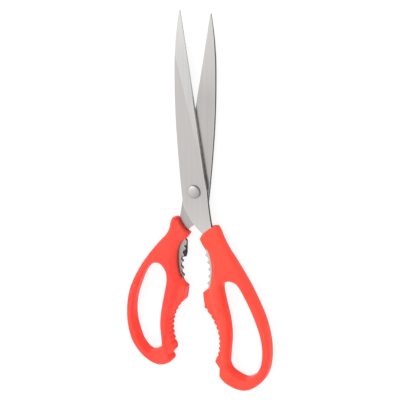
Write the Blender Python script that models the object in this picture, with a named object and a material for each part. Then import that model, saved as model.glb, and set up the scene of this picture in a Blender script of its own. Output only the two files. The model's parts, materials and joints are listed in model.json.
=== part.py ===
# Florist scissors: two stamped steel blades on one rivet, each tang moulded into a finger loop.
#
# Metres, +Z up. The scissors lie flat with the tips towards +Y. Each half is drawn as it stands
# when the scissors are shut, with the pivot at its origin, the back of its blade at -X and its
# loop at +X. The rear half is drawn the same way and turned over about Y. Each half then turns
# about the pivot by half the opening.

import math

import bmesh
import bpy
from mathutils import Matrix, Vector

for old in list(bpy.data.objects):
    bpy.data.objects.remove(old, do_unlink=True)

# Angle between the halves as they lie
OPENING = math.radians(10.7)

# Blades
TIP_REACH = 0.1146
TIP_WIDTH = 0.0006
BLADE_THICKNESS = 0.0023
BLADE_RUNNING_GAP = 0.0003
EDGE_AT_TIP = 0.0010
EDGE_AT_PIVOT = 0.0088
EDGE_BEVEL_RUN = 0.0004
GRIND_START = 0.0100
GRIND_SPREAD = math.radians(5.3)
GRIND_ANGLE = math.radians(8.0)
# Back of the blade: distance behind the tip, distance out from the seam
BLADE_BACK = ((0.0100, 0.0018), (0.0186, 0.0034), (0.0331, 0.0054), (0.0596, 0.0077), (0.0850, 0.0087))

# Tangs, as points (across, along) from the pivot
TANG_INNER = ((-0.0088, -0.0060), (-0.0079, -0.0118), (-0.0046, -0.0187), (-0.0010, -0.0238))
TANG_MOUTH = (0.0031, -0.0284)
TANG_SHOULDER = (0.0046, -0.0320)
TANG_OUTER = ((0.0099, -0.0640), (0.0142, -0.0520), (0.0138, -0.0400), (0.0099, -0.0230), (0.0090, -0.0120))
TANG_END = (0.0068, -0.0716)
TANG_END_RADIUS = 0.0024
# Moulding holes through the tang: across, along, radius
ANCHOR_HOLES = ((0.0094, -0.0370, 0.0022), (0.0068, -0.0700, 0.0012))

# Nut jaw: a gripping arc in each moulding, and a flatter arc of steel teeth that stand out of it
GRIP_RADIUS = 0.0320
JAW_CENTRE = -0.0500
JAW_DEPTH = 0.0079
JAW_TOP = -0.0326
JAW_END = -0.0670
STEEL_RADIUS = 0.0500
STEEL_CENTRE = -0.0525
STEEL_PROUD = 0.0009
STEEL_RISE = 0.0169
STEEL_DROP = 0.0118
TOOTH_COUNT = 5
TOOTH_PITCH = 0.0049
TOOTH_HEIGHT = 0.0019
TOOTH_ROOT_WIDTH = 0.0035
TOOTH_TIP_WIDTH = 0.0006
# Block in place of the rear blade's first teeth
ANVIL_TEETH = 2
ANVIL_X = 0.0034
ANVIL_TOP = -0.0364
ANVIL_END = -0.0477

# Handles
COVER_THICKNESS = 0.00165
RIM_ROUNDING = 0.0020
MOULD_GAP = 0.0003
COLLAR_INNER = (0.0012, -0.0304)
STOP_X = 0.00015
STOP_TOP = -0.0690
STOP_END = -0.0777
SPUR = (0.0046, -0.1168)
NOTCH = (0.0072, -0.1213)

# Cap grip: ribs on an arc like the jaw's
CAP_CENTRE = -0.0995
CAP_DEPTH = 0.0099
CAP_TOP = -0.0787
CAP_END = -0.1145
RIB_COUNT = 9
RIB_PITCH = 0.00355
RIB_FIRST = -0.0817
RIB_HEIGHT = 0.0008
RIB_WIDTH = 0.0011
GROOVE_OVERSHOOT = 0.0003

# Outer side of each loop, from its end round to the collar, and each hole. What lies outside
# the root is then spread so that the loop's outermost point is at its reach.
LOOP_ROOT = 0.0140
FINGER_REACH = 0.0432
FINGER_LOOP = (
    (0.0070, -0.1240), (0.0068, -0.1274), (0.0105, -0.1315), (0.0171, -0.1344), (0.0238, -0.1349),
    (0.0293, -0.1328), (0.0357, -0.1276), (0.0393, -0.1228), (0.0414, -0.1165), (0.0431, -0.1070),
    (0.0432, -0.0965), (0.0414, -0.0846), (0.0380, -0.0744), (0.0315, -0.0605), (0.0239, -0.0470),
    (0.0182, -0.0378), (0.0152, -0.0310), (0.0140, -0.0255), (0.0133, -0.0227),
)
FINGER_COLLAR = (0.0108, -0.0222)
FINGER_HOLE = (
    (0.0190, -0.0584), (0.0244, -0.0597), (0.0298, -0.0688), (0.0350, -0.0817), (0.0382, -0.0950),
    (0.0384, -0.1060), (0.0361, -0.1160), (0.0315, -0.1230), (0.0250, -0.1270), (0.0180, -0.1247),
    (0.0137, -0.1195), (0.0140, -0.1110), (0.0157, -0.0980), (0.0155, -0.0865), (0.0138, -0.0750),
    (0.0128, -0.0655), (0.0143, -0.0610),
)
THUMB_REACH = 0.0403
THUMB_LOOP = (
    (0.0060, -0.1224), (0.0053, -0.1242), (0.0084, -0.1279), (0.0135, -0.1305), (0.0202, -0.1303),
    (0.0276, -0.1263), (0.0340, -0.1188), (0.0383, -0.1085), (0.0403, -0.0975), (0.0403, -0.0865),
    (0.0382, -0.0755), (0.0331, -0.0622), (0.0273, -0.0506), (0.0215, -0.0412), (0.0170, -0.0345),
    (0.0148, -0.0290), (0.0140, -0.0250), (0.0131, -0.0222),
)
THUMB_COLLAR = (0.0103, -0.0215)
THUMB_HOLE = (
    (0.0198, -0.0564), (0.0247, -0.0580), (0.0295, -0.0648), (0.0335, -0.0775), (0.0356, -0.0900),
    (0.0351, -0.1015), (0.0326, -0.1114), (0.0284, -0.1192), (0.0226, -0.1235), (0.0165, -0.1206),
    (0.0133, -0.1166), (0.0138, -0.1100), (0.0153, -0.1015), (0.0156, -0.0930), (0.0148, -0.0820),
    (0.0134, -0.0733), (0.0129, -0.0660), (0.0150, -0.0600),
)

# Rivet, with a washer under its closed end
PIVOT_RADIUS = 0.0030
PIVOT_CLEARANCE = 0.00008
SEAT_GAP = 0.0002
HEAD_LIP = 0.0013
HEAD_HEIGHT = 0.0013
TAIL_LIP = 0.0009
TAIL_HEIGHT = 0.0009
DOME_EDGE = 0.3
WASHER_WIDTH = 0.0018
WASHER_THICKNESS = 0.0006

# Facets
CURVE_STEP = 0.0030
ROUND_STEPS = 40
DOME_STEPS = 5
RIM_STEPS = 3
SHARP_ANGLE = math.radians(35)

BLADE_BASE = BLADE_RUNNING_GAP / 2
BLADE_TOP = BLADE_BASE + BLADE_THICKNESS
HANDLE_HALF = BLADE_TOP + MOULD_GAP + COVER_THICKNESS
STEEL_DEPTH = JAW_DEPTH - STEEL_PROUD
STEEL_TOP = STEEL_CENTRE + STEEL_RISE
STEEL_END = STEEL_CENTRE - STEEL_DROP
TOOTH_FIRST = STEEL_CENTRE + TOOTH_PITCH * (TOOTH_COUNT - 1) / 2

CORAL = (1.0, 0.085, 0.065)
STEEL = (0.58, 0.56, 0.53)
RIVET_STEEL = (0.50, 0.49, 0.48)


def smooth(points, closed=False):
    """Points about CURVE_STEP apart on a smooth curve through the given ones."""
    knots = [Vector(p) for p in points]
    count = len(knots)
    curve = []
    for i in range(count if closed else count - 1):
        a, b = knots[i], knots[(i + 1) % count]
        before = knots[i - 1] if closed or i > 0 else 2 * a - b
        after = knots[(i + 2) % count] if closed or i + 2 < count else 2 * b - a
        span = (b - a).length
        leave = (b - before) * span / ((a - before).length + span)
        reach = (after - a) * span / ((after - b).length + span)
        steps = max(1, round(span / CURVE_STEP))
        for k in range(steps):
            t = k / steps
            near = (2 * t**3 - 3 * t**2 + 1) * a + (t**3 - 2 * t**2 + t) * leave
            far = (3 * t**2 - 2 * t**3) * b + (t**3 - t**2) * reach
            curve.append(near + far)
    return curve if closed else curve + [knots[-1]]


def arc_point(radius, depth, centre, y):
    """Point at height y on an arc that bows away from the seam, to `depth` at its centre."""
    return Vector((depth - radius + math.sqrt(radius**2 - (y - centre) ** 2), y))


def grip_point(depth, centre, y):
    return arc_point(GRIP_RADIUS, depth, centre, y)


def steel_point(rise, y):
    """Point at height y on the steel of the nut jaw, `rise` above the roots of its teeth."""
    return arc_point(STEEL_RADIUS, STEEL_DEPTH - rise, STEEL_CENTRE, y)


def grip_arc(depth, centre, top, end):
    steps = max(1, round((top - end) / CURVE_STEP))
    return [grip_point(depth, centre, top + (end - top) * k / steps) for k in range(steps + 1)]


def circle(x, y, radius, steps=ROUND_STEPS, start=0.0, turn=2 * math.pi):
    angles = [start + turn * k / steps for k in range(steps)]
    return [Vector((x + radius * math.cos(a), y + radius * math.sin(a))) for a in angles]


def inset(loop, distance):
    """The closed loop moved towards its inside by `distance`, with mitred corners."""
    area = sum(a.x * b.y - b.x * a.y for a, b in zip(loop, loop[1:] + loop[:1]))
    side = math.copysign(1, area) * distance
    moved = []
    for i, point in enumerate(loop):
        before = (point - loop[i - 1]).normalized()
        after = (loop[(i + 1) % len(loop)] - point).normalized()
        across = Vector((-before.y, before.x))
        normal = (across + Vector((-after.y, after.x))).normalized()
        moved.append(point + normal * side / max(0.5, normal.dot(across)))
    return moved


def add_ring(bm, loop, z):
    verts = [bm.verts.new((p.x, p.y, z)) for p in loop]
    return verts, [bm.edges.new((a, b)) for a, b in zip(verts, verts[1:] + verts[:1])]


def plate(loops, bottom, top):
    """Flat plate inside the first loop, with the other loops as holes."""
    bm = bmesh.new()
    for loop in loops:
        add_ring(bm, loop, bottom)
    bmesh.ops.triangle_fill(bm, use_beauty=True, edges=bm.edges[:])
    grown = bmesh.ops.extrude_face_region(bm, geom=bm.faces[:])
    risen = [g for g in grown["geom"] if isinstance(g, bmesh.types.BMVert)]
    bmesh.ops.translate(bm, verts=risen, vec=(0, 0, top - bottom))
    bmesh.ops.recalc_face_normals(bm, faces=bm.faces[:])
    return bm


def rounded_plate(outline, hole, half, rounding):
    """Plate from -half to +half whose rims are quarter rounds, inside and out."""
    turns = [math.pi / 2 * k / RIM_STEPS for k in range(RIM_STEPS + 1)]
    rim = [(rounding * (1 - math.sin(a)), rounding * (1 - math.cos(a)) - half) for a in turns]
    profile = rim + [(step, -z) for step, z in reversed(rim)]
    bm = bmesh.new()
    caps = ([], [])
    for loop, side in ((outline, 1), (hole, -1)):
        rings = [add_ring(bm, inset(loop, side * step), z) for step, z in profile]
        caps[0].extend(rings[0][1])
        caps[1].extend(rings[-1][1])
        for (low, _), (high, _) in zip(rings, rings[1:]):
            for i in range(len(loop)):
                j = (i + 1) % len(loop)
                bm.faces.new((low[i], low[j], high[j], high[i]))
    for edges in caps:
        bmesh.ops.triangle_fill(bm, use_beauty=True, edges=edges)
    bmesh.ops.recalc_face_normals(bm, faces=bm.faces[:])
    return bm


def lathe(profile, closed=False):
    """Solid turned about Z from points (radius, z)."""
    bm = bmesh.new()
    verts = [bm.verts.new((r, 0, z)) for r, z in profile]
    pairs = list(zip(verts, verts[1:])) + ([(verts[-1], verts[0])] if closed else [])
    edges = [bm.edges.new(pair) for pair in pairs]
    bmesh.ops.spin(
        bm, geom=verts + edges, cent=(0, 0, 0), axis=(0, 0, 1),
        angle=2 * math.pi, steps=ROUND_STEPS, use_merge=True,
    )
    bmesh.ops.remove_doubles(bm, verts=bm.verts[:], dist=1e-6)
    bmesh.ops.recalc_face_normals(bm, faces=bm.faces[:])
    return bm


def material(name, colour, metallic, roughness):
    made = bpy.data.materials.new(name)
    made.use_nodes = True
    shader = made.node_tree.nodes["Principled BSDF"]
    shader.inputs["Base Color"].default_value = (*colour, 1)
    shader.inputs["Metallic"].default_value = metallic
    shader.inputs["Roughness"].default_value = roughness
    return made


def add_object(name, bm, parent, look):
    mesh = bpy.data.meshes.new(name)
    bm.to_mesh(mesh)
    bm.free()
    mesh.materials.append(look)
    mesh.shade_smooth()
    mesh.set_sharp_from_angle(angle=SHARP_ANGLE)
    made = bpy.data.objects.new(name, mesh)
    made.parent = parent
    bpy.context.scene.collection.objects.link(made)
    return made


def add_empty(name, parent, turn=(0, 0, 0)):
    made = bpy.data.objects.new(name, None)
    made.parent = parent
    made.rotation_euler = turn
    bpy.context.scene.collection.objects.link(made)
    return made


def cut_away(target, name, bm):
    """Takes a closed shape, drawn in the target's own frame, out of the target."""
    cutter = add_object(name, bm, target.parent, target.data.materials[0])
    cutter.hide_render = True
    cutter.display_type = "WIRE"
    cut = target.modifiers.new(name, "BOOLEAN")
    cut.operation = "DIFFERENCE"
    cut.solver = "EXACT"
    cut.object = cutter


def edge_x(y):
    """Where the cutting edge is at height y."""
    return EDGE_AT_PIVOT + (EDGE_AT_TIP - EDGE_AT_PIVOT) * y / TIP_REACH


def jaw_steel(has_anvil):
    """Inner side of the tang along the nut jaw, from the top down."""
    first = ANVIL_TEETH if has_anvil else 0
    teeth_top = TOOTH_FIRST - first * TOOTH_PITCH + TOOTH_ROOT_WIDTH / 2
    line = [steel_point(0, STEEL_TOP)]
    if has_anvil:
        line += [Vector((ANVIL_X, ANVIL_TOP)), Vector((ANVIL_X, ANVIL_END))]
        line.append(steel_point(0, (ANVIL_END + teeth_top) / 2))
    else:
        line.append(steel_point(0, (STEEL_TOP + teeth_top) / 2))
    for k in range(first, TOOTH_COUNT):
        y = TOOTH_FIRST - k * TOOTH_PITCH
        line.append(steel_point(0, y + TOOTH_ROOT_WIDTH / 2))
        line.append(steel_point(TOOTH_HEIGHT, y + TOOTH_TIP_WIDTH / 2))
        line.append(steel_point(TOOTH_HEIGHT, y - TOOTH_TIP_WIDTH / 2))
        line.append(steel_point(0, y - TOOTH_ROOT_WIDTH / 2))
    return line + [steel_point(0, STEEL_END)]


def tang_tail():
    """Outer side of the tang, from its round end up to the pivot."""
    end = circle(*TANG_END, TANG_END_RADIUS, ROUND_STEPS // 4, math.pi, math.pi)
    return end + smooth(((TANG_END[0] + TANG_END_RADIUS, TANG_END[1]), *TANG_OUTER, (edge_x(0), 0)))


def grind(bm):
    """Grinds the outer face down towards the cutting edge, from a crease that starts on the edge."""
    start = Vector((edge_x(GRIND_START), GRIND_START, BLADE_TOP))
    lean = math.atan2(EDGE_AT_PIVOT - EDGE_AT_TIP, TIP_REACH) + GRIND_SPREAD
    crease = Matrix.Rotation(lean, 3, "Z") @ Vector((0, 1, 0))
    normal = Matrix.Rotation(GRIND_ANGLE, 3, crease) @ Vector((0, 0, 1))
    cut = bmesh.ops.bisect_plane(
        bm, geom=bm.verts[:] + bm.edges[:] + bm.faces[:], dist=1e-7,
        plane_co=start, plane_no=normal, clear_outer=True,
    )
    rim = [g for g in cut["geom_cut"] if isinstance(g, bmesh.types.BMEdge)]
    bmesh.ops.triangle_fill(bm, use_beauty=True, edges=rim, normal=normal)
    bmesh.ops.recalc_face_normals(bm, faces=bm.faces[:])


def blade(has_anvil):
    back = [(-width, TIP_REACH - behind) for behind, width in BLADE_BACK]
    outline = smooth([(EDGE_AT_TIP - TIP_WIDTH, TIP_REACH), *back, *TANG_INNER, TANG_MOUTH, TANG_SHOULDER])
    outline += jaw_steel(has_anvil) + tang_tail()
    edge = [Vector((edge_x(y), y)) for y in (GRIND_START, TIP_REACH - TIP_WIDTH / 2)]
    holes = [circle(0, 0, PIVOT_RADIUS)] + [circle(*hole, ROUND_STEPS // 2) for hole in ANCHOR_HOLES]
    bm = plate([outline + edge, *holes], BLADE_BASE, BLADE_TOP)
    for vert in bm.verts:
        on_edge = any((vert.co.xy - point).length < 1e-6 for point in edge)
        if on_edge and vert.co.z > BLADE_BASE + BLADE_THICKNESS / 2:
            vert.co.x -= EDGE_BEVEL_RUN
    grind(bm)
    return bm


def tang_pocket():
    """Space in the moulding for the tang, open at the collar and along the jaw."""
    outline = [Vector(p) for p in (TANG_INNER[-1], TANG_MOUTH, TANG_SHOULDER)]
    outline.append(steel_point(0, STEEL_TOP))
    outline += grip_arc(0, JAW_CENTRE, STEEL_TOP, STEEL_END)
    outline.append(steel_point(0, STEEL_END))
    outline += tang_tail()[:-1]
    pegs = [circle(x, y, radius - MOULD_GAP, ROUND_STEPS // 2) for x, y, radius in ANCHOR_HOLES]
    return plate([inset(outline, -MOULD_GAP), *pegs], BLADE_BASE - MOULD_GAP, BLADE_TOP + MOULD_GAP)


def rib_grooves():
    """Comb whose points cut the grooves between the ribs of the cap grip."""
    back_off = RIB_HEIGHT + GROOVE_OVERSHOOT
    half_width = (RIB_PITCH - RIB_WIDTH) / 2 * back_off / RIB_HEIGHT
    line = []
    for k in range(RIB_COUNT + 1):
        y = RIB_FIRST - (k - 0.5) * RIB_PITCH
        line.append(grip_point(CAP_DEPTH - back_off, CAP_CENTRE, y + half_width))
        line.append(grip_point(CAP_DEPTH, CAP_CENTRE, y))
        line.append(grip_point(CAP_DEPTH - back_off, CAP_CENTRE, y - half_width))
    spine = grip_arc(CAP_DEPTH - 3 * back_off, CAP_CENTRE, line[0].y, line[-1].y)
    return plate([line + spine[::-1]], -2 * HANDLE_HALF, 2 * HANDLE_HALF)


def spread(points, loop, reach):
    """The points, spread outside LOOP_ROOT so that the loop's outermost point is at `reach`."""
    share = (reach - LOOP_ROOT) / (max(across for across, _ in loop) - LOOP_ROOT)
    return [
        (LOOP_ROOT + (across - LOOP_ROOT) * share if across > LOOP_ROOT else across, along)
        for across, along in points
    ]


def handle(name, reach, loop, collar, hole, parent):
    outline = [Vector(collar), Vector(COLLAR_INNER)]
    outline += grip_arc(JAW_DEPTH, JAW_CENTRE, JAW_TOP, JAW_END)
    outline += [Vector((STOP_X, STOP_TOP)), Vector((STOP_X, STOP_END))]
    outline += grip_arc(CAP_DEPTH - RIB_HEIGHT, CAP_CENTRE, CAP_TOP, CAP_END) + [Vector(SPUR)]
    outline += smooth([NOTCH, *spread(loop, loop, reach)])
    hole_line = smooth(spread(hole, loop, reach), closed=True)
    bm = rounded_plate(outline, hole_line, HANDLE_HALF, RIM_ROUNDING)
    made = add_object(name, bm, parent, material(f"{name}_plastic", CORAL, 0, 0.38))
    cut_away(made, f"{name}_tang_pocket", tang_pocket())
    cut_away(made, f"{name}_rib_grooves", rib_grooves())


def dome(radius, seat, height):
    """Head profile from its seat out and over to its crown; a negative height points it down."""
    turns = [math.pi / 2 * k / DOME_STEPS for k in range(DOME_STEPS + 1)]
    edge = seat + height * DOME_EDGE
    rise = height * (1 - DOME_EDGE)
    return [(radius, seat)] + [(radius * math.cos(a), edge + rise * math.sin(a)) for a in turns]


def rivet():
    washer_base = -BLADE_TOP - SEAT_GAP - WASHER_THICKNESS
    shank = PIVOT_RADIUS - PIVOT_CLEARANCE
    tail = dome(PIVOT_RADIUS + TAIL_LIP, washer_base - SEAT_GAP, -TAIL_HEIGHT)
    head = dome(PIVOT_RADIUS + HEAD_LIP, BLADE_TOP + SEAT_GAP, HEAD_HEIGHT)
    return lathe(tail[::-1] + [(shank, tail[0][1]), (shank, head[0][1])] + head)


def washer():
    top = -BLADE_TOP - SEAT_GAP
    base = top - WASHER_THICKNESS
    rim = PIVOT_RADIUS + WASHER_WIDTH
    return lathe([(PIVOT_RADIUS, top), (rim, top), (rim, base), (PIVOT_RADIUS, base)], closed=True)


def stand_on_origin(root):
    """Moves the scissors so that they lie on Z = 0 with their middle over the origin."""
    bpy.context.view_layer.update()
    solids = [o for o in bpy.data.objects if o.type == "MESH" and not o.hide_render]
    corners = [o.matrix_world @ v.co for o in solids for v in o.data.vertices]
    low = Vector(min(c[axis] for c in corners) for axis in range(3))
    high = Vector(max(c[axis] for c in corners) for axis in range(3))
    root.location = (-(low.x + high.x) / 2, -(low.y + high.y) / 2, -low.z)


def build():
    root = add_empty("florist_scissors", None)
    front = add_empty("front_half", root, (0, 0, OPENING / 2))
    rear = add_empty("rear_half", root, (0, math.pi, -OPENING / 2))
    add_object("front_blade", blade(False), front, material("front_blade_steel", STEEL, 1, 0.32))
    add_object("rear_blade", blade(True), rear, material("rear_blade_steel", STEEL, 1, 0.32))
    handle("front_handle", FINGER_REACH, FINGER_LOOP, FINGER_COLLAR, FINGER_HOLE, front)
    handle("rear_handle", THUMB_REACH, THUMB_LOOP, THUMB_COLLAR, THUMB_HOLE, rear)
    add_object("pivot_rivet", rivet(), root, material("rivet_steel", RIVET_STEEL, 1, 0.25))
    add_object("rivet_washer", washer(), root, material("washer_steel", RIVET_STEEL, 1, 0.35))
    stand_on_origin(root)


build()
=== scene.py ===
import json
import math

import bmesh
import bpy
from mathutils import Matrix, Vector


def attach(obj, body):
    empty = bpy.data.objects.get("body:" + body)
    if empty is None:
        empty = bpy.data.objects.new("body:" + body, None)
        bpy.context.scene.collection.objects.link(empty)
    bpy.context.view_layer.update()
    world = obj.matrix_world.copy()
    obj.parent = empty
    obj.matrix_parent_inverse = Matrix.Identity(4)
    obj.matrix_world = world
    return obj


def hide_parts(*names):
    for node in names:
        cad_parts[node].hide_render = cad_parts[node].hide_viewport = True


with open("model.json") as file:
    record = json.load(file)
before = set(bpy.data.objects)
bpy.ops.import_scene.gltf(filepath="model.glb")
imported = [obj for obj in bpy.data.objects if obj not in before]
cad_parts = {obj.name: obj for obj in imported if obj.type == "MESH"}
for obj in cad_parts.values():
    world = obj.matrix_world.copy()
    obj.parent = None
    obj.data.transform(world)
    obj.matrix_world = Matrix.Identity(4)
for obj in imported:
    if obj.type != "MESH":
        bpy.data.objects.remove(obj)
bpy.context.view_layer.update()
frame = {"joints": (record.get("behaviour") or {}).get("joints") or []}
scene = bpy.context.scene

# Each half is drawn shut, pivot at the origin and seam along Y, then set in its place on the rivet.
# The rear half is the same drawing turned over.
opening = math.radians(10.7)
pivotPoint = Vector(frame["joints"][0]["pos_m"])
frontPlace = Matrix.Translation(pivotPoint) @ Matrix.Rotation(opening / 2, 4, "Z")
rearPlace = (Matrix.Translation(pivotPoint) @ Matrix.Rotation(-opening / 2, 4, "Z")
             @ Matrix.Rotation(math.pi, 4, "Y"))


def smoothLine(points, step, closed=False):
    # a curve through the points, with a vertex about every step
    knots = [Vector(p) for p in points]
    count = len(knots)
    line = []
    for i in range(count if closed else count - 1):
        a, b = knots[i], knots[(i + 1) % count]
        before = knots[i - 1] if closed or i > 0 else 2 * a - b
        after = knots[(i + 2) % count] if closed or i + 2 < count else 2 * b - a
        span = (b - a).length
        leave = (b - before) * span / ((a - before).length + span)
        reach = (after - a) * span / ((after - b).length + span)
        cuts = max(1, round(span / step))
        for k in range(cuts):
            t = k / cuts
            line.append((2 * t**3 - 3 * t**2 + 1) * a + (t**3 - 2 * t**2 + t) * leave
                        + (3 * t**2 - 2 * t**3) * b + (t**3 - t**2) * reach)
    return line if closed else line + [knots[-1]]


def bowedPoint(radius, depth, centre, y):
    # on an arc that bows away from the seam, to depth at its centre
    return Vector((depth - radius + math.sqrt(radius**2 - (y - centre) ** 2), y))


def straightLine(a, b, step):
    a, b = Vector(a), Vector(b)
    cuts = max(1, round((b - a).length / step))
    return [a.lerp(b, k / cuts) for k in range(cuts)]


def insetLine(line, widths):
    # the closed line moved inwards, each point by its own width
    area = sum(a.x * b.y - b.x * a.y for a, b in zip(line, line[1:] + line[:1]))
    side = math.copysign(1, area)
    moved = []
    for i, point in enumerate(line):
        before = (point - line[i - 1]).normalized()
        after = (line[(i + 1) % len(line)] - point).normalized()
        across = Vector((-before.y, before.x))
        normal = (across + Vector((-after.y, after.x))).normalized()
        corner = max(0.5, normal.dot(across))  # a sharp corner goes at most twice as far
        moved.append(point + normal * side * widths[i] / corner)
    return moved


def layRing(bm, line, z):
    verts = [bm.verts.new((p.x, p.y, z)) for p in line]
    edges = [bm.edges.new((a, b)) for a, b in zip(verts, verts[1:] + verts[:1])]
    return verts, edges


def growRing(bm, verts, edges, line, heights):
    # extrudes a ring of edges and lays the new ring on the line
    grown = bmesh.ops.extrude_edge_only(bm, edges=edges)["geom"]
    new = {g for g in grown if isinstance(g, bmesh.types.BMVert)}
    nextVerts = []
    for vert, point, z in zip(verts, line, heights):
        twin = next(e.other_vert(vert) for e in vert.link_edges if e.other_vert(vert) in new)
        twin.co = (point.x, point.y, z)
        nextVerts.append(twin)
    return nextVerts, [bm.edges.get((a, b)) for a, b in zip(nextVerts, nextVerts[1:] + nextVerts[:1])]


def addPiece(name, bm, place, looks, body, replaced, sharp=35):
    # sharp: the angle in degrees from which an edge isn't shaded smooth
    bm.transform(place)
    bmesh.ops.recalc_face_normals(bm, faces=bm.faces[:])
    for edge in bm.edges:
        edge.smooth = edge.smooth and edge.calc_face_angle(0) < math.radians(sharp)
    mesh = bpy.data.meshes.new(name)
    bm.to_mesh(mesh)
    bm.free()
    for look in looks:
        mesh.materials.append(look)
    mesh.shade_smooth()
    piece = bpy.data.objects.new(name, mesh)
    scene.collection.objects.link(piece)
    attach(piece, body)
    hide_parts(replaced)


def newMaterial(name, metallic, roughness=0.5):
    made = bpy.data.materials.new(name)
    made.use_nodes = True
    shader = made.node_tree.nodes["Principled BSDF"]
    shader.inputs["Metallic"].default_value = metallic
    shader.inputs["Roughness"].default_value = roughness
    return made, made.node_tree, shader


def addNode(tree, kind, **settings):
    node = tree.nodes.new(kind)
    for key, value in settings.items():
        if hasattr(node, key):
            setattr(node, key, value)
        else:
            node.inputs[key].default_value = value
    return node


def objectMapping(tree, turn=(0, 0, 0), scale=(1, 1, 1)):
    coords = addNode(tree, "ShaderNodeTexCoord")
    mapping = addNode(tree, "ShaderNodeMapping", Rotation=turn, Scale=scale)
    tree.links.new(coords.outputs["Object"], mapping.inputs["Vector"])
    return mapping.outputs["Vector"]


def noiseValue(tree, vector, scale, detail):
    node = addNode(tree, "ShaderNodeTexNoise", Scale=scale, Detail=detail)
    tree.links.new(vector, node.inputs["Vector"])
    return node.outputs["Fac"]


def rangeValue(tree, value, low, high, fromLow=0.3, fromHigh=0.7, way="LINEAR"):
    node = addNode(tree, "ShaderNodeMapRange", interpolation_type=way)
    for key, number in (("From Min", fromLow), ("From Max", fromHigh), ("To Min", low), ("To Max", high)):
        node.inputs[key].default_value = number
    tree.links.new(value, node.inputs["Value"])
    return node.outputs["Result"]


def joinValues(tree, operation, first, second):
    node = addNode(tree, "ShaderNodeMath", operation=operation)
    for socket, value in zip(node.inputs, (first, second)):
        if isinstance(value, float):
            socket.default_value = value
        else:
            tree.links.new(value, socket)
    return node.outputs[0]


def scaledColour(tree, colour, amount):
    node = addNode(tree, "ShaderNodeVectorMath", operation="SCALE")
    tree.links.new(colour, node.inputs[0])
    tree.links.new(amount, node.inputs["Scale"])
    return node.outputs["Vector"]


def mixColours(tree, factor, first, second):
    node = addNode(tree, "ShaderNodeMix", data_type="RGBA")
    tree.links.new(factor, node.inputs["Factor"])
    for socket, colour in ((node.inputs[6], first), (node.inputs[7], second)):
        if isinstance(colour, tuple):
            socket.default_value = (*colour, 1)
        else:
            tree.links.new(colour, socket)
    return node.outputs[2]


def bumpFrom(tree, height, strength, distance):
    node = addNode(tree, "ShaderNodeBump", Strength=strength, Distance=distance)
    tree.links.new(height, node.inputs["Height"])
    return node.outputs["Normal"]


steelLook = {
    # tones at places along the blade, from the jaw up: each blade's flat, and the ground face of both; painted
    # light and shade, lighter towards the tips, darker at the jaws, the rear blade darker than the front
    "front": ((-0.038, (0.480, 0.460, 0.445)), (-0.026, (0.556, 0.527, 0.517)), (0.006, (0.455, 0.436, 0.426)),
              (0.055, (0.437, 0.418, 0.407)), (0.090, (0.422, 0.408, 0.398)), (0.114, (0.500, 0.488, 0.480))),
    "rear": ((-0.038, (0.320, 0.293, 0.286)), (-0.024, (0.378, 0.358, 0.351)), (-0.010, (0.375, 0.356, 0.348)),
             (0.006, (0.392, 0.375, 0.366)), (0.050, (0.405, 0.388, 0.377)), (0.070, (0.386, 0.371, 0.361)),
             (0.090, (0.440, 0.426, 0.417)), (0.114, (0.480, 0.468, 0.460))),
    "ground": ((0.010, (0.500, 0.482, 0.468)), (0.044, (0.507, 0.491, 0.478)), (0.060, (0.528, 0.513, 0.502)),
               (0.090, (0.546, 0.535, 0.526)), (0.114, (0.605, 0.597, 0.592))),
    "streakScale": (900, 14, 900), "streak": 0.05,
    "patchScale": 38, "patchStretch": (1, 0.4, 1), "patch": 0.03,
    "frontRoughness": (0.36, 0.47), "rearRoughness": (0.22, 0.32), "groundRoughness": (0.36, 0.47),
    "scratch": 0.16, "scratchDepth": 0.00005,
}


def paintedLightAlong(tree, tones):
    # a colour for each place along Y, which paints light and shade along the blade
    split = addNode(tree, "ShaderNodeSeparateXYZ")
    tree.links.new(objectMapping(tree), split.inputs[0])
    low, high = tones[0][0], tones[-1][0]
    ramp = addNode(tree, "ShaderNodeValToRGB")
    tree.links.new(rangeValue(tree, split.outputs["Y"], 0, 1, low, high), ramp.inputs[0])
    stops = ramp.color_ramp.elements
    for place, colour in tones[1:-1]:
        stops.new((place - low) / (high - low)).color = (*colour, 1)
    stops[0].color = (*tones[0][1], 1)
    stops[-1].color = (*tones[-1][1], 1)
    return ramp.outputs["Color"]


def brushedSteel(name, turn, tones, roughness):
    # streaks run along the blade, which leans by half the opening
    look = steelLook
    made, tree, shader = newMaterial(name, 1)
    streaks = noiseValue(tree, objectMapping(tree, (0, 0, turn), look["streakScale"]), 1, 3)
    patches = noiseValue(tree, objectMapping(tree, (0, 0, turn), look["patchStretch"]), look["patchScale"], 2)
    amount = joinValues(tree, "ADD", rangeValue(tree, streaks, -look["streak"], look["streak"]),
                        rangeValue(tree, patches, 1 - look["patch"], 1 + look["patch"]))
    tree.links.new(scaledColour(tree, paintedLightAlong(tree, tones), amount), shader.inputs["Base Color"])
    tree.links.new(rangeValue(tree, streaks, *roughness), shader.inputs["Roughness"])
    tree.links.new(bumpFrom(tree, streaks, look["scratch"], look["scratchDepth"]), shader.inputs["Normal"])
    return made


cutLook = {
    # tones at places along the blade: its stamped side, and the cutting edge's, which is ground; both are
    # painted shade, darker towards the pivot where the blades overlap, and the edge's is lighter in the middle
    # of the blade as painted light
    "side": ((-0.030, (0.075, 0.071, 0.067)), (0.012, (0.085, 0.081, 0.077)), (0.075, (0.105, 0.101, 0.097)),
             (0.114, (0.145, 0.140, 0.135))),
    "edge": ((0.010, (0.200, 0.194, 0.188)), (0.024, (0.330, 0.322, 0.314)), (0.036, (0.430, 0.420, 0.410)),
             (0.052, (0.560, 0.548, 0.536)), (0.070, (0.500, 0.489, 0.478)), (0.114, (0.420, 0.410, 0.400))),
    "roughness": 0.42, "lineScale": 1500, "lineStretch": (1, 1, 0.25), "lines": 0.25,
    "scratch": 0.10, "scratchDepth": 0.00006,
}


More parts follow.
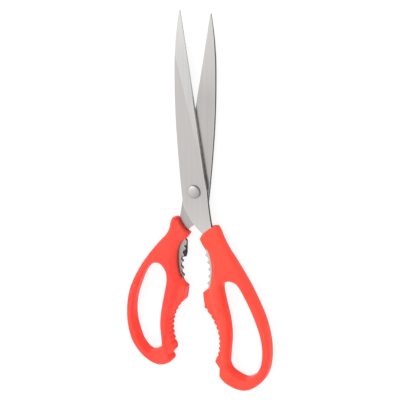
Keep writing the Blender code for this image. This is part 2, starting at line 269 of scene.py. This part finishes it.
def shearedAndShadedSteel(name, tones):
    # the side of the plate, duller than its faces, and darker than them as painted shade
    look = cutLook
    made, tree, shader = newMaterial(name, 1, look["roughness"])
    lines = noiseValue(tree, objectMapping(tree, scale=look["lineStretch"]), look["lineScale"], 3)
    amount = rangeValue(tree, lines, 1 - look["lines"], 1 + look["lines"])
    tree.links.new(scaledColour(tree, paintedLightAlong(tree, tones), amount), shader.inputs["Base Color"])
    tree.links.new(bumpFrom(tree, lines, look["scratch"], look["scratchDepth"]), shader.inputs["Normal"])
    return made


# painted highlight: the eased corners are paler than the steel's faces
easedLook = {"roughness": 0.22, "grainScale": 900, "deep": (0.68, 0.67, 0.65), "pale": (0.82, 0.81, 0.79)}


def brightEdge(name):
    # the eased corner between a face and the side, polished, and paler than the faces as a painted highlight
    look = easedLook
    made, tree, shader = newMaterial(name, 1, look["roughness"])
    grain = rangeValue(tree, noiseValue(tree, objectMapping(tree), look["grainScale"], 2), 0, 1)
    tree.links.new(mixColours(tree, grain, look["deep"], look["pale"]), shader.inputs["Base Color"])
    return made


plasticLook = {
    # the finger handle is a little lighter than the thumb handle as painted light, and each is a little cloudy
    "finger": ((1.0, 0.077, 0.057), (1.0, 0.098, 0.061)), "thumb": ((1.0, 0.075, 0.058), (1.0, 0.094, 0.062)),
    "cloudScale": 34,
    # how far light goes into the plastic
    "depth": 0.85, "depthRadius": (1.0, 0.12, 0.08), "depthScale": 0.006,
    "gloss": 0.14, "sheenScale": 160, "roughness": (0.30, 0.42),
    "grainScale": 2600, "grain": 0.07, "grainDepth": 0.00012,
}


def satinPlastic(name, tones):
    look = plasticLook
    made, tree, shader = newMaterial(name, 0)
    shader.inputs["Specular IOR Level"].default_value = look["gloss"]
    shader.inputs["Subsurface Weight"].default_value = look["depth"]
    shader.inputs["Subsurface Radius"].default_value = look["depthRadius"]
    shader.inputs["Subsurface Scale"].default_value = look["depthScale"]
    place = objectMapping(tree)
    clouds = noiseValue(tree, place, look["cloudScale"], 2)
    sheen = noiseValue(tree, place, look["sheenScale"], 3)
    grain = noiseValue(tree, place, look["grainScale"], 2)
    tree.links.new(mixColours(tree, rangeValue(tree, clouds, 0, 1), *tones), shader.inputs["Base Color"])
    tree.links.new(rangeValue(tree, sheen, *look["roughness"]), shader.inputs["Roughness"])
    tree.links.new(bumpFrom(tree, grain, look["grain"], look["grainDepth"]), shader.inputs["Normal"])
    return made


rivetLook = {
    "pale": (0.455, 0.446, 0.433), "deep": (0.425, 0.416, 0.404),
    "headRoughness": 0.29, "washerRoughness": 0.34,
    "ringScale": 8000, "ring": 0.04, "ringDepth": 0.00004,
    # painted shade: the steel darkens where it turns down to its seat, between these distances from the axis
    "rim": (0.32, 0.31, 0.30), "rimStart": 0.0034, "rimEnd": 0.0043,
}


def turnedSteel(name, roughness):
    # faint turned rings about the rivet's own axis, and painted shade towards the outer edge
    look = rivetLook
    made, tree, shader = newMaterial(name, 1, roughness)
    coords = addNode(tree, "ShaderNodeTexCoord")
    centre = addNode(tree, "ShaderNodeMapping")
    centre.inputs["Location"].default_value = -pivotPoint
    tree.links.new(coords.outputs["Object"], centre.inputs["Vector"])
    flat = addNode(tree, "ShaderNodeVectorMath", operation="MULTIPLY")
    flat.inputs[1].default_value = (1, 1, 0)
    tree.links.new(centre.outputs["Vector"], flat.inputs[0])
    radius = addNode(tree, "ShaderNodeVectorMath", operation="LENGTH")
    tree.links.new(flat.outputs["Vector"], radius.inputs[0])
    noise = addNode(tree, "ShaderNodeTexNoise", noise_dimensions="1D", Scale=look["ringScale"], Detail=2.0)
    tree.links.new(radius.outputs["Value"], noise.inputs["W"])
    rings = noise.outputs["Fac"]
    body = mixColours(tree, rangeValue(tree, rings, 0, 1), look["deep"], look["pale"])
    rimShadeShare = rangeValue(tree, radius.outputs["Value"], 0, 1, look["rimStart"], look["rimEnd"])
    tree.links.new(mixColours(tree, rimShadeShare, body, look["rim"]), shader.inputs["Base Color"])
    tree.links.new(bumpFrom(tree, rings, look["ring"], look["ringDepth"]), shader.inputs["Normal"])
    return made


frontSteel = brushedSteel("frontSteel", -opening / 2, steelLook["front"], steelLook["frontRoughness"])
rearSteel = brushedSteel("rearSteel", opening / 2, steelLook["rear"], steelLook["rearRoughness"])
frontGround = brushedSteel("frontGround", -opening / 2, steelLook["ground"], steelLook["groundRoughness"])
rearGround = brushedSteel("rearGround", opening / 2, steelLook["ground"], steelLook["groundRoughness"])
sideSteel = shearedAndShadedSteel("sideSteel", cutLook["side"])
edgeSteel = shearedAndShadedSteel("edgeSteel", cutLook["edge"])
easedSteel = brightEdge("easedSteel")
fingerPlastic = satinPlastic("fingerPlastic", plasticLook["finger"])
thumbPlastic = satinPlastic("thumbPlastic", plasticLook["thumb"])
headSteel = turnedSteel("headSteel", rivetLook["headRoughness"])
washerSteel = turnedSteel("washerSteel", rivetLook["washerRoughness"])
print("materials made")


blade = {
    "tipReach": 0.1146, "tipWidth": 0.0006, "thickness": 0.0023, "runningGap": 0.0003,
    # the cutting edge: how far it is from the seam at the tip and at the pivot, and its lean outwards
    "edgeAtTip": 0.0010, "edgeAtPivot": 0.0088, "edgeLean": 0.0004, "edgeStep": 0.004,
    "grindStart": 0.0100, "grindSpread": math.radians(5.3), "grindAngle": math.radians(8.0),
    # distance behind the tip, distance out from the seam
    "back": ((0.0100, 0.0018), (0.0186, 0.0034), (0.0331, 0.0054), (0.0596, 0.0077), (0.0850, 0.0087)),
    "tangInner": ((-0.0088, -0.0060), (-0.0079, -0.0118), (-0.0046, -0.0187), (-0.0010, -0.0238)),
    "tangMouth": (0.0031, -0.0284), "tangShoulder": (0.0046, -0.0320),
    "tangOuter": ((0.0068, -0.0716), (0.0099, -0.0640), (0.0142, -0.0520), (0.0138, -0.0400),
                  (0.0099, -0.0230), (0.0090, -0.0120), (0.0088, 0.0)),
    "step": 0.0012, "easing": 0.00016,
    # telling the faces apart: how level a flat or a ground face is, how near the edge's line its side lies,
    # and the corners that are eased
    "flatLevel": 0.997, "groundLevel": 0.95, "edgeNear": 0.0005, "cornerAngle": math.radians(30),
}
bladeFaces = {"flat": 0, "side": 1, "eased": 2, "ground": 3, "edge": 4}
jaw = {
    "radius": 0.0340, "centre": -0.0513, "depth": 0.0063, "start": (0.0050, -0.0350), "end": -0.0643,
    "toothCount": 5, "toothCentre": -0.0520, "toothPitch": 0.0048, "toothHeight": 0.0013,
    "rootWidth": 0.0028, "tipWidth": 0.0010,
    # the stop block: its lip on the near side, and its outline on the far side down to the third tooth
    "lip": ((0.0034, -0.0368), (0.0035, -0.0396), (0.0055, -0.0405)),
    "block": ((0.0034, -0.0368), (0.0033, -0.0389), (0.0032, -0.0402), (0.0031, -0.0413), (0.0030, -0.0424),
              (0.0029, -0.0435), (0.0028, -0.0447), (0.0029, -0.0459), (0.0031, -0.0472), (0.0034, -0.0486),
              (0.0056, -0.0496)),
}


def edgeX(y):
    # how far the cutting edge is from the seam, at y along the blade
    return blade["edgeAtPivot"] + (blade["edgeAtTip"] - blade["edgeAtPivot"]) * y / blade["tipReach"]


def steelPoint(rise, y):
    # on the jaw's arc, or above it by the rise of a tooth
    return bowedPoint(jaw["radius"], jaw["depth"] - rise, jaw["centre"], y)


def jawLine(hasBlock):
    # roots and points of the teeth from the top down
    top = jaw["toothCentre"] + jaw["toothPitch"] * (jaw["toothCount"] - 1) / 2
    root, tip, height = jaw["rootWidth"] / 2, jaw["tipWidth"] / 2, jaw["toothHeight"]
    line = [Vector(jaw["start"])] + ([Vector(p) for p in jaw["lip"]] if hasBlock else [])
    for k in range(jaw["toothCount"]):
        y = top - k * jaw["toothPitch"]
        for rise, offset in ((0, root), (height, tip), (height, -tip), (0, -root)):
            line.append(steelPoint(rise, y + offset))
    return line + [steelPoint(0, jaw["end"])]


def makeBlade(hasBlock):
    v = blade
    back = [(-width, v["tipReach"] - behind) for behind, width in v["back"]]
    upper = smoothLine(((v["edgeAtTip"] - v["tipWidth"], v["tipReach"]), *back, *v["tangInner"],
                        v["tangMouth"], v["tangShoulder"]), v["step"])
    edgeStart = (edgeX(v["grindStart"]), v["grindStart"])
    edgeEnd = (edgeX(v["tipReach"]), v["tipReach"] - v["tipWidth"] / 2)
    line = upper + jawLine(hasBlock) + smoothLine(v["tangOuter"], v["step"])
    line += straightLine(edgeStart, edgeEnd, v["edgeStep"]) + [Vector(edgeEnd)]
    base = v["runningGap"] / 2
    top = base + v["thickness"]
    bm = bmesh.new()
    near, rim = layRing(bm, line, base)
    bmesh.ops.contextual_create(bm, geom=rim)
    grown = bmesh.ops.extrude_face_region(bm, geom=bm.faces[:])
    risen = [g for g in grown["geom"] if isinstance(g, bmesh.types.BMVert)]
    bmesh.ops.translate(bm, verts=risen, vec=(0, 0, v["thickness"]))
    if hasBlock:
        # the block slopes out from the first two teeth to its full outline on the far side
        for vert, point in zip(near[len(upper) + 1:], jaw["block"]):
            far = next(e.other_vert(vert) for e in vert.link_edges if e.other_vert(vert).co.z > base + 1e-5)
            far.co.xy = point
    bmesh.ops.recalc_face_normals(bm, faces=bm.faces[:])
    for vert in risen:
        if vert.co.y > v["grindStart"] - 1e-6 and abs(vert.co.x - edgeX(vert.co.y)) < 1e-5:
            vert.co.x -= v["edgeLean"]
    # grind the outer face down towards the cutting edge
    lean = math.atan2(v["edgeAtPivot"] - v["edgeAtTip"], v["tipReach"]) + v["grindSpread"]
    crease = Matrix.Rotation(lean, 3, "Z") @ Vector((0, 1, 0))
    normal = Matrix.Rotation(v["grindAngle"], 3, crease) @ Vector((0, 0, 1))
    cut = bmesh.ops.bisect_plane(bm, geom=bm.verts[:] + bm.edges[:] + bm.faces[:], dist=1e-7,
                                 plane_co=(*edgeStart, top), plane_no=normal, clear_outer=True)
    rim = [g for g in cut["geom_cut"] if isinstance(g, bmesh.types.BMEdge)]
    bmesh.ops.contextual_create(bm, geom=rim)
    bmesh.ops.recalc_face_normals(bm, faces=bm.faces[:])
    for face in bm.faces:
        level = abs(face.normal.z)
        centre = face.calc_center_median()
        isEdge = centre.y > 0 and abs(centre.x - edgeX(centre.y)) < v["edgeNear"]
        finish = ("flat" if level > v["flatLevel"] else "ground" if level > v["groundLevel"]
                  else "edge" if isEdge else "side")
        face.material_index = bladeFaces[finish]
    rims = [e for e in bm.edges if e.calc_face_angle(0) > v["cornerAngle"]
            and abs(e.verts[0].co.z - e.verts[1].co.z) < v["thickness"] * 0.5]
    softened = bmesh.ops.bevel(bm, geom=rims, offset=v["easing"], segments=2, profile=0.5, affect="EDGES",
                               material=-1)
    for face in softened["faces"]:
        face.material_index = bladeFaces["eased"]
    for edge in bm.edges:
        # the flats and the ground face stay flat up to their rims
        finishes = {face.material_index for face in edge.link_faces}
        edge.smooth = len(finishes) == 1 or not finishes & {bladeFaces["flat"], bladeFaces["ground"]}
    return bm


# in the order of bladeFaces
frontLooks = (frontSteel, sideSteel, easedSteel, frontGround, edgeSteel)
rearLooks = (rearSteel, sideSteel, easedSteel, rearGround, edgeSteel)
addPiece("frontBlade", makeBlade(False), frontPlace, frontLooks, "front_half", "front_blade")
addPiece("rearBlade", makeBlade(True), rearPlace, rearLooks, "rear_half", "rear_blade")
print("blades made")


grip = {
    "half": 0.0044, "radius": 0.0320,
    # the handle thins out towards the collar
    "collarThinning": 0.0014, "thinningStart": -0.0680, "thinningEnd": -0.0300,
    # the stop, the cap grip and the spur lie lower than the loop, past this line
    "ledgeWidth": 0.0026, "ledgeStep": 0.001,
    "ledge": ((0.0030, -0.0600), (0.0050, -0.0658), (0.0064, -0.0713), (0.0079, -0.0792), (0.0095, -0.0872),
              (0.0101, -0.0949), (0.0102, -0.1025), (0.0101, -0.1101), (0.0096, -0.1161), (0.0085, -0.1200),
              (0.0050, -0.1240)),
    "stopX": 0.00015, "stopTop": -0.0684,
    "stopEndX": 0.0006, "stopEnd": -0.0777,
    "spur": (0.0046, -0.1168), "notch": (0.0072, -0.1213),
    "capTop": -0.0787, "capEnd": -0.1145,
    # a lower fullness makes the valleys narrower; past the end ribs the wall comes up with the slope of runOut
    "ribCount": 9, "ribPitch": 0.00355, "ribFirst": -0.0817, "ribHeight": 0.0013,
    "ribFullness": 0.6, "runOut": 3,
    # the hole's wall beside the jaw and the cap grip, as far out as this, has its own rounding
    "innerWallTo": 0.0175,
    # the mesh: lengths along the outline, rings in the rounding, and cells on the faces
    "step": 0.0009, "ribStep": 0.0002, "rimSteps": 10,
    "fineCell": 0.0007, "fineTo": 0.0170, "wideCell": 0.0020, "rowCell": 0.0011,
}
fingerSide = {
    "near": 1, "capCentre": -0.1004, "capDepth": 0.0101, "ledgeDrop": 0.0008, "innerRim": "innerWall",
    "end": (
        (0.0127, -0.0225), (0.0095, -0.0231), (0.0062, -0.0254), (0.0040, -0.0270), (0.0025, -0.0289),
        (0.0008, -0.0315),
    ),
    "jaw": (
        (0.0011, -0.0332), (0.0025, -0.0362), (0.0046, -0.0407), (0.0062, -0.0462), (0.0067, -0.0518),
        (0.0064, -0.0559), (0.0058, -0.0595), (0.0049, -0.0631), (0.0035, -0.0656), (0.0020, -0.0674),
    ),
    "loop": (
        (0.0070, -0.1240), (0.0068, -0.1274), (0.0105, -0.1315), (0.0171, -0.1344), (0.0238, -0.1349),
        (0.0293, -0.1328), (0.0357, -0.1276), (0.0393, -0.1228), (0.0418, -0.1165), (0.0434, -0.1070),
        (0.0434, -0.0965), (0.0414, -0.0846), (0.0380, -0.0744), (0.0319, -0.0603), (0.0249, -0.0467),
        (0.0195, -0.0374), (0.0165, -0.0308), (0.0147, -0.0255), (0.0137, -0.0235),
    ),
    "hole": (
        (0.0190, -0.0584), (0.0244, -0.0597), (0.0298, -0.0688), (0.0350, -0.0817), (0.0385, -0.0950),
        (0.0389, -0.1060), (0.0368, -0.1160), (0.0321, -0.1230), (0.0250, -0.1270), (0.0180, -0.1247),
        (0.0137, -0.1195), (0.0143, -0.1110), (0.0162, -0.0980), (0.0160, -0.0865), (0.0143, -0.0750),
        (0.0132, -0.0655), (0.0143, -0.0610),
    ),
}
thumbSide = {
    "near": -1, "capCentre": -0.0995, "capDepth": 0.0101, "ledgeDrop": 0.0014, "innerRim": "hole",
    "end": (
        (0.0117, -0.0216), (0.0099, -0.0226), (0.0079, -0.0252), (0.0053, -0.0278), (0.0040, -0.0288),
        (0.0012, -0.0301),
    ),
    "jaw": (
        (0.0026, -0.0334), (0.0062, -0.0375), (0.0078, -0.0408), (0.0086, -0.0443), (0.0088, -0.0478),
        (0.0085, -0.0518), (0.0078, -0.0560), (0.0067, -0.0597), (0.0052, -0.0622), (0.0034, -0.0647),
        (0.0016, -0.0668),
    ),
    "loop": (
        (0.0060, -0.1224), (0.0053, -0.1242), (0.0084, -0.1279), (0.0135, -0.1305), (0.0202, -0.1303),
        (0.0279, -0.1267), (0.0350, -0.1192), (0.0391, -0.1088), (0.0407, -0.0978), (0.0405, -0.0867),
        (0.0382, -0.0755), (0.0331, -0.0623), (0.0271, -0.0508), (0.0213, -0.0414), (0.0168, -0.0347),
        (0.0149, -0.0291), (0.0146, -0.0252), (0.0139, -0.0228),
    ),
    "hole": (
        (0.0198, -0.0564), (0.0249, -0.0580), (0.0299, -0.0648), (0.0341, -0.0775), (0.0364, -0.0902),
        (0.0360, -0.1015), (0.0329, -0.1115), (0.0287, -0.1194), (0.0226, -0.1236), (0.0165, -0.1206),
        (0.0133, -0.1166), (0.0138, -0.1100), (0.0153, -0.1015), (0.0156, -0.0930), (0.0148, -0.0820),
        (0.0139, -0.0733), (0.0135, -0.0660), (0.0152, -0.0600),
    ),
}
# rim rounding: how far in from the side it starts, how far down it runs, how far the section swells out,
# and how full it is (1 is a flat slope, 2 a round)
rounding = {
    "collar": (0.0014, 0.0020, 0, 2.2), "jawTop": (0.0022, 0.0020, 0, 2.2), "jaw": (0.0043, 0.0022, 0, 1.2),
    "stop": (0.0006, 0.0008, 0, 2.8), "cap": (0.0003, 0.0004, 0, 2.8), "loop": (0.0022, 0.0036, 0.0003, 2.8),
    "hole": (0.0021, 0.0036, 0.0004, 2.8), "innerWall": (0.0036, 0.0040, 0.0004, 2.4),
    # how far along the rim each of the four values runs into the next stretch's
    "reach": (0.004, 0.004, 0.006, 0.004), "jawTopEnd": -0.0375,
}


def capLine(side):
    # rounded ribs with narrow valleys between them
    g = grip
    top, end = g["capTop"], g["capEnd"]
    cuts = round((top - end) / g["ribStep"])
    line = []
    for k in range(cuts + 1):
        y = top + (end - top) * k / cuts
        turn = (g["ribFirst"] - y) / g["ribPitch"]
        past = max(-0.5 - turn, turn - g["ribCount"] + 0.5)  # in ribs, from the nearer end of the row
        bump = abs(math.cos(math.pi * turn)) ** g["ribFullness"]
        if past > 0:
            bump = min(1.0, past * g["runOut"])
        line.append(bowedPoint(g["radius"], side["capDepth"] - g["ribHeight"] * bump, side["capCentre"], y))
    return line


def handleOutline(side):
    # the closed outline, and for each point the name of its rounding
    g = grip
    stopEnd = (g["stopEndX"], g["stopEnd"])
    stop = straightLine((g["stopX"], g["stopTop"]), stopEnd, g["step"]) + [Vector(stopEnd)]
    loop = smoothLine((g["notch"], *side["loop"]), g["step"])
    jawPoints = smoothLine(side["jaw"], g["step"])
    jawTop = [p for p in jawPoints if p.y > rounding["jawTopEnd"]]
    parts = (
        ("collar", smoothLine(side["end"], g["step"])), ("jawTop", jawTop), ("jaw", jawPoints[len(jawTop):]),
        ("stop", stop), ("cap", capLine(side)), ("stop", [Vector(g["spur"])]), ("loop", loop),
    )
    line, names = [], []
    for name, points in parts:
        line += points
        names += [name] * len(points)
    return line, names


def blended(values, line, reach):
    # evens out a value given per point of a closed line, over a distance along it
    spans = [(b - a).length for a, b in zip(line, line[1:] + line[:1])]
    count = len(line)
    evened = []
    for i in range(count):
        total, weight = values[i], 1.0
        for way in (1, -1):
            j, gone = i, 0.0
            while True:
                gone += spans[j] if way == 1 else spans[j - 1]
                j = (j + way) % count
                if gone > reach or j == i:
                    break
                share = 1 - gone / reach
                total += values[j] * share
                weight += share
        evened.append(total / weight)
    return evened


def handleHole(side):
    line = smoothLine(side["hole"], grip["step"], closed=True)
    names = [side["innerRim"] if p.x < grip["innerWallTo"] else "hole" for p in line]
    return line, names


def eased(share):
    share = min(1.0, max(0.0, share))
    return share * share * (3 - 2 * share)


ledgeLine = smoothLine(grip["ledge"], grip["ledgeStep"])


def levelAt(point, ledgeDrop):
    # how far a face lies from the mid-plane
    g = grip
    along = (point.y - g["thinningStart"]) / (g["thinningEnd"] - g["thinningStart"])
    thinning = g["collarThinning"] * eased(along)
    below = 0.0
    for a, b in zip(ledgeLine, ledgeLine[1:]):
        if b.y <= point.y <= a.y:
            across = a.lerp(b, (a.y - point.y) / (a.y - b.y)).x - point.x
            below = ledgeDrop * eased(across * (a.y - b.y) / (b - a).length / g["ledgeWidth"] + 0.5)
            break
    return g["half"] - thinning - below


def cellLines(start, end, cell):
    return [start + k * cell for k in range(1, int((end - start) / cell) + 1)]


def isLeftOver(vert, level):
    # a vertex in the middle of a straight edge, on the face at that level
    if len(vert.link_edges) != 2:
        return False
    ends = [e.other_vert(vert).co for e in vert.link_edges]
    first, second = [(end - vert.co).normalized() for end in ends]
    return all(abs(co.z - level) < 1e-9 for co in (vert.co, *ends)) and abs(first.dot(second) + 1) < 1e-4


def cutGrid(bm, faces, low, high):
    # cuts flat faces into cells, finer near the seam, and clears the fill's own diagonals
    g = grip
    across = cellLines(0, g["fineTo"], g["fineCell"]) + cellLines(g["fineTo"], high.x, g["wideCell"])
    along = cellLines(low.y, high.y, g["rowCell"])
    region = set(faces)
    for normal, places in (((1, 0, 0), across), ((0, 1, 0), along)):
        for place in places:
            geom = [*region, *{e for f in region for e in f.edges}, *{v for f in region for v in f.verts}]
            cut = bmesh.ops.bisect_plane(bm, geom=geom, dist=1e-7, plane_co=[c * place for c in normal],
                                         plane_no=normal)
            region = {part for part in cut["geom"] if isinstance(part, bmesh.types.BMFace)}
    level = next(iter(region)).verts[0].co.z
    slanted = []
    for edge in {e for f in region for e in f.edges}:
        run = edge.verts[1].co - edge.verts[0].co
        if all(f in region for f in edge.link_faces) and min(abs(run.x), abs(run.y)) > 1e-7:
            slanted.append(edge)
    bmesh.ops.dissolve_edges(bm, edges=slanted, use_verts=False)
    bmesh.ops.dissolve_verts(bm, verts=[v for v in bm.verts if isLeftOver(v, level)])


def makeHandle(side):
    g = grip
    bm = bmesh.new()
    caps = {1: [], -1: []}
    for line, names in (handleOutline(side), handleHole(side)):
        isHole = "hole" in names
        inwards = -1 if isHole else 1
        widths, drops, swells, fullnesses = (
            blended([rounding[n][k] for n in names], line, reach) for k, reach in enumerate(rounding["reach"]))
        line = insetLine(line, [-inwards * s for s in swells])
        middle = layRing(bm, line, 0)
        for way in (1, -1):
            verts, edges = middle
            for k in range(g["rimSteps"] + 1):
                turn = math.pi / 2 * k / g["rimSteps"]
                across = [max(0.0, math.cos(turn)) ** (2 / f) for f in fullnesses]
                up = [math.sin(turn) ** (2 / f) for f in fullnesses]
                moved = insetLine(line, [inwards * w * (1 - a) for w, a in zip(widths, across)])
                heights = [way * (g["half"] - d * (1 - u)) for d, u in zip(drops, up)]
                verts, edges = growRing(bm, verts, edges, moved, heights)
            caps[way] += edges
    outline = [v.co for v in bm.verts]
    low = Vector((min(c.x for c in outline), min(c.y for c in outline)))
    high = Vector((max(c.x for c in outline), max(c.y for c in outline)))
    for edges in caps.values():
        filled = bmesh.ops.triangle_fill(bm, use_beauty=True, edges=edges)["geom"]
        cutGrid(bm, [f for f in filled if isinstance(f, bmesh.types.BMFace)], low, high)
    for vert in bm.verts:
        # each face comes down to its own level, and the rounding with it; only the near one has the ledge
        isNear = vert.co.z * side["near"] > 0
        vert.co.z *= levelAt(vert.co.xy, side["ledgeDrop"] if isNear else 0) / g["half"]
    return bm


addPiece("fingerHandle", makeHandle(fingerSide), frontPlace, (fingerPlastic,), "front_half",
         "front_handle")
addPiece("thumbHandle", makeHandle(thumbSide), rearPlace, (thumbPlastic,), "rear_half",
         "rear_handle")
print("handles made")


rivet = {
    "shank": 0.0030, "shankPlay": 0.00008, "seatGap": 0.0002, "headLip": 0.0013, "headHeight": 0.0013,
    "tailLip": 0.0009, "tailHeight": 0.0009,
    # shares of a dome's height or radius: its upright rim, and the easing where it sits
    "domeEdge": 0.3, "seatInset": 0.985, "seatRise": 0.06,
    "steps": 72, "domeSteps": 12,
    "washerWidth": 0.0018, "washerThickness": 0.0006, "washerEasing": 0.0001,
}


def turned(profile, closed=False):
    bm = bmesh.new()
    verts = [bm.verts.new((r, 0, z)) for r, z in profile]
    pairs = list(zip(verts, verts[1:])) + ([(verts[-1], verts[0])] if closed else [])
    edges = [bm.edges.new(pair) for pair in pairs]
    bmesh.ops.spin(bm, geom=verts + edges, cent=(0, 0, 0), axis=(0, 0, 1), angle=2 * math.pi,
                   steps=rivet["steps"], use_merge=True)
    bmesh.ops.remove_doubles(bm, verts=bm.verts[:], dist=1e-6)
    return bm


def domeProfile(radius, seat, height):
    # from the seat out, round the rim and over to the crown
    edge = seat + height * rivet["domeEdge"]
    rise = height * (1 - rivet["domeEdge"])
    turns = [math.pi / 2 * k / rivet["domeSteps"] for k in range(rivet["domeSteps"] + 1)]
    foot = [(radius * rivet["seatInset"], seat), (radius, seat + height * rivet["seatRise"])]
    return foot + [(radius * math.cos(a), edge + rise * math.sin(a)) for a in turns]


bladeTop = blade["runningGap"] / 2 + blade["thickness"]
washerTop = -bladeTop - rivet["seatGap"]
washerBase = washerTop - rivet["washerThickness"]
tail = domeProfile(rivet["shank"] + rivet["tailLip"], washerBase - rivet["seatGap"], -rivet["tailHeight"])
head = domeProfile(rivet["shank"] + rivet["headLip"], bladeTop + rivet["seatGap"], rivet["headHeight"])
shankSide = rivet["shank"] - rivet["shankPlay"]
onPivot = Matrix.Translation(pivotPoint)
addPiece("rivet", turned(tail[::-1] + [(shankSide, tail[0][1]), (shankSide, head[0][1])] + head), onPivot,
         (headSteel,), "rear_half", "pivot_rivet")
inner, outer, easing = rivet["shank"], rivet["shank"] + rivet["washerWidth"], rivet["washerEasing"]
washer = turned([(inner, washerTop), (outer - easing, washerTop), (outer, washerTop - easing),
                 (outer, washerBase + easing), (outer - easing, washerBase), (inner, washerBase)], closed=True)
addPiece("rivetWasher", washer, onPivot, (washerSteel,), "rear_half", "rivet_washer")
print("rivet made")


stage = {"floorSize": 6.0, "floorWhite": 0.86, "floorGlow": 1.03, "shadowShare": 0.20}


def floorMaterial():
    # the camera and the steel's reflections see it white, with part of the shadow
    made, tree, shader = newMaterial("paleFloor", 0, 1.0)
    tree.nodes.remove(shader)
    white, dimmed = stage["floorWhite"], stage["floorWhite"] * stage["shadowShare"]
    diffuse = addNode(tree, "ShaderNodeBsdfDiffuse", Color=(white, white, white, 1))
    dim = addNode(tree, "ShaderNodeBsdfDiffuse", Color=(dimmed, dimmed, dimmed, 1))
    glow = addNode(tree, "ShaderNodeEmission", Strength=stage["floorGlow"] - dimmed)
    seen = addNode(tree, "ShaderNodeAddShader")
    tree.links.new(dim.outputs[0], seen.inputs[0])
    tree.links.new(glow.outputs[0], seen.inputs[1])
    rays = addNode(tree, "ShaderNodeLightPath").outputs
    direct = joinValues(tree, "MAXIMUM", rays["Is Camera Ray"], rays["Is Glossy Ray"])
    direct = joinValues(tree, "MAXIMUM", direct, rays["Is Transmission Ray"])
    mix = addNode(tree, "ShaderNodeMixShader")
    tree.links.new(direct, mix.inputs[0])
    tree.links.new(diffuse.outputs[0], mix.inputs[1])
    tree.links.new(seen.outputs[0], mix.inputs[2])
    tree.links.new(mix.outputs[0], tree.nodes["Material Output"].inputs["Surface"])
    return made


bm = bmesh.new()
bmesh.ops.create_grid(bm, x_segments=1, y_segments=1, size=stage["floorSize"] / 2)
floorMesh = bpy.data.meshes.new("floor")
bm.to_mesh(floorMesh)
bm.free()
floorMesh.materials.append(floorMaterial())
floor = bpy.data.objects.new("floor", floorMesh)
scene.collection.objects.link(floor)

# each lobe: its direction, how far round it reaches (1 is only its centre), and what it adds
sky = {"level": 0.87, "lobes": (
    ((-0.50, 0.15, 0.86), 0.80, 0.25),
    ((-0.90, 0.10, 0.40), 0.30, 0.60),
    ((0.45, 0.35, 0.80), 0.30, 0.15),
)}


def skyLight():
    # an even pale studio, brighter above, on the left side and high on the right
    world = bpy.data.worlds.new("studio")
    world.use_nodes = True
    tree = world.node_tree
    tree.nodes["Background"].inputs["Color"].default_value = (1, 1, 1, 1)
    coords = addNode(tree, "ShaderNodeTexCoord")
    level = sky["level"]
    for direction, reach, amount in sky["lobes"]:
        towards = addNode(tree, "ShaderNodeVectorMath", operation="DOT_PRODUCT")
        towards.inputs[1].default_value = Vector(direction).normalized()
        tree.links.new(coords.outputs["Generated"], towards.inputs[0])
        share = rangeValue(tree, towards.outputs["Value"], 0, amount, reach, 1, way="SMOOTHSTEP")
        level = joinValues(tree, "ADD", level, share)
    tree.links.new(level, tree.nodes["Background"].inputs["Strength"])
    scene.world = world


def softLamp(name, position, size, watts):
    data = bpy.data.lights.new(name, "AREA")
    data.shape = "DISK"
    data.size = size
    data.energy = watts
    lamp = bpy.data.objects.new(name, data)
    lamp.location = position
    lamp.rotation_euler = Vector(position).to_track_quat("Z", "Y").to_euler()
    scene.collection.objects.link(lamp)


leftLamp = {"position": (-0.75, 0.30, 1.0), "size": 0.9, "watts": 1.6}

skyLight()
softLamp("leftLamp", **leftLamp)

# the photograph's viewpoint: to the right of the scissors and a little towards the tips
viewpoint = {"yaw": math.radians(27.0), "pitch": math.radians(23.0), "roll": math.radians(-0.10),
             "distance": 0.8604, "lens": 124.56, "aim": Vector((0.00110, 0.00323, 0.0044))}
toCamera = Vector((math.sin(viewpoint["yaw"]) * math.cos(viewpoint["pitch"]), math.sin(viewpoint["pitch"]),
                   math.cos(viewpoint["yaw"]) * math.cos(viewpoint["pitch"])))
right = Vector((math.cos(viewpoint["yaw"]), 0, -math.sin(viewpoint["yaw"])))
upward = toCamera.cross(right)
turn = Matrix((right, upward, toCamera)).transposed()
turn = Matrix.Rotation(viewpoint["roll"], 3, toCamera) @ turn
cameraData = bpy.data.cameras.new("camera")
cameraData.lens = viewpoint["lens"]
cameraData.sensor_width = 36
cameraData.clip_start, cameraData.clip_end = 0.05, 20
camera = bpy.data.objects.new("camera", cameraData)
eye = viewpoint["aim"] + toCamera * viewpoint["distance"]
camera.matrix_world = Matrix.Translation(eye) @ turn.to_4x4()
scene.collection.objects.link(camera)
scene.camera = camera
scene.view_settings.view_transform = "Standard"
print("stage made")
